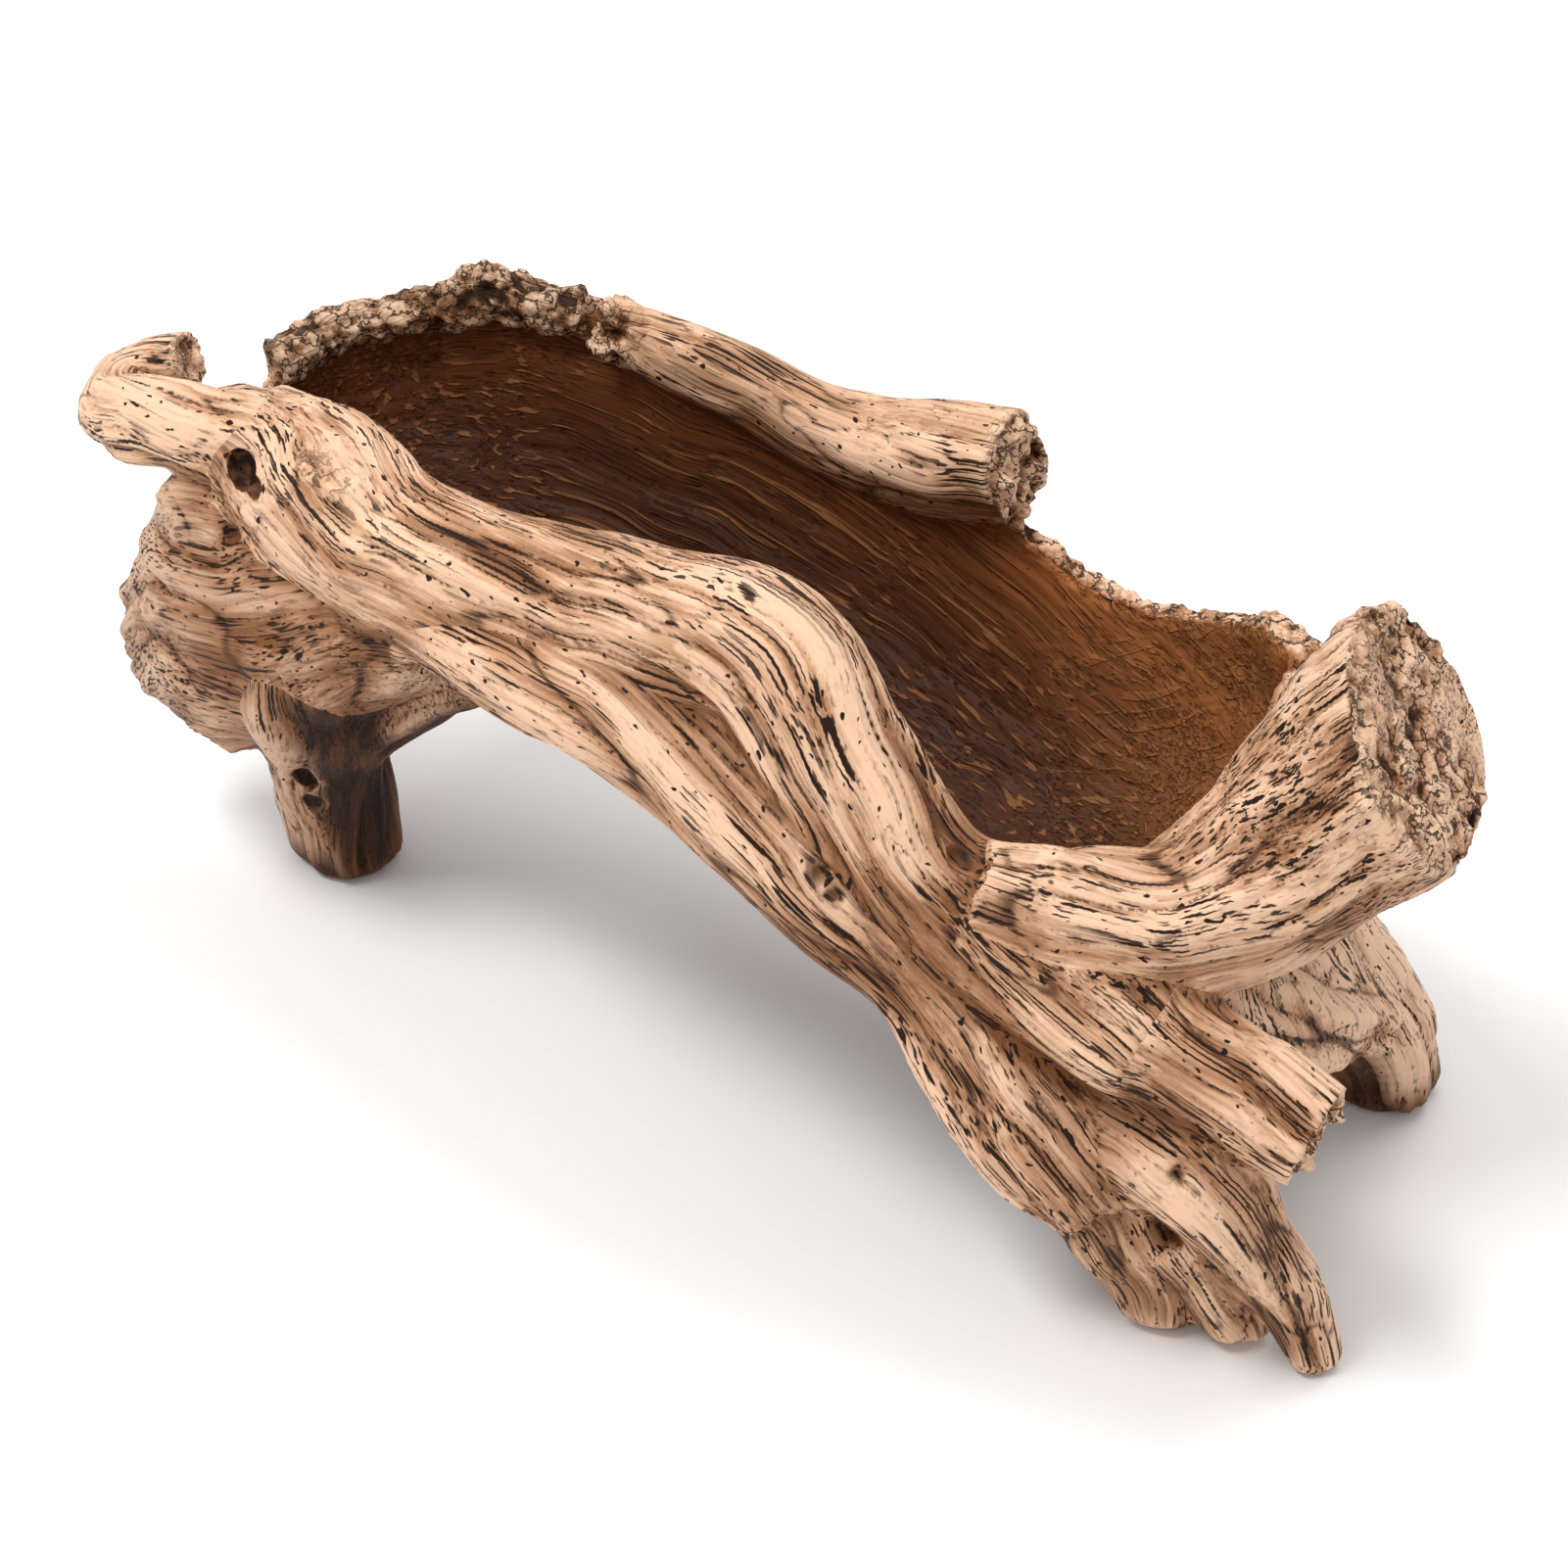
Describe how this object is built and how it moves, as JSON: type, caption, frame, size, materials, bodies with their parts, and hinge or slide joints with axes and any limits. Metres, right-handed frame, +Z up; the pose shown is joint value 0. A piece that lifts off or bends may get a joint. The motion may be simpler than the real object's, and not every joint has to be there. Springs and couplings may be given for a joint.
{
  "type": "driftwood cave ornament",
  "caption": "Hollow driftwood log on root legs, open on top like a trough, with an arched cave to swim through underneath.",
  "frame": {"origin": "on the ground under the centre of the ornament's bounding box", "axes": "+X along the trough towards the sawn log end, +Y towards the high back rim, +Z up"},
  "size_m": [0.2985, 0.122, 0.1245],
  "materials": {
    "hollow_log_paint": "painted cast resin, dark brown hollow, tan outer face, satin",
    "weathered_root_paint": "painted cast resin, light tan with near-black grain lines, satin",
    "shaded_root_paint": "painted cast resin, brown wash over tan, satin",
    "sawn_log_paint": "painted cast resin, tan with speckled black end grain, satin",
    "smooth_rim_paint": "painted cast resin, smooth tan, satin",
    "bark_paint": "painted cast resin, rough dark bark with tan peaks",
    "glass_fibre_rod": "bare glass-fibre rod"
  },
  "bodies": {
    "root": {"trough_shell": "hollow_log_paint", "crest_root": "weathered_root_paint", "lower_root": "weathered_root_paint", "hook_knot": "weathered_root_paint", "root_flare": "shaded_root_paint", "left_foot": "shaded_root_paint", "sawn_log": "sawn_log_paint", "rear_foot": "shaded_root_paint", "snapped_branch": "weathered_root_paint", "long_toe": "weathered_root_paint", "short_toe": "weathered_root_paint", "rim_branch": "smooth_rim_paint", "bark_rim": "bark_paint", "locating_pins": "glass_fibre_rod"}
  },
  "joints": []
}
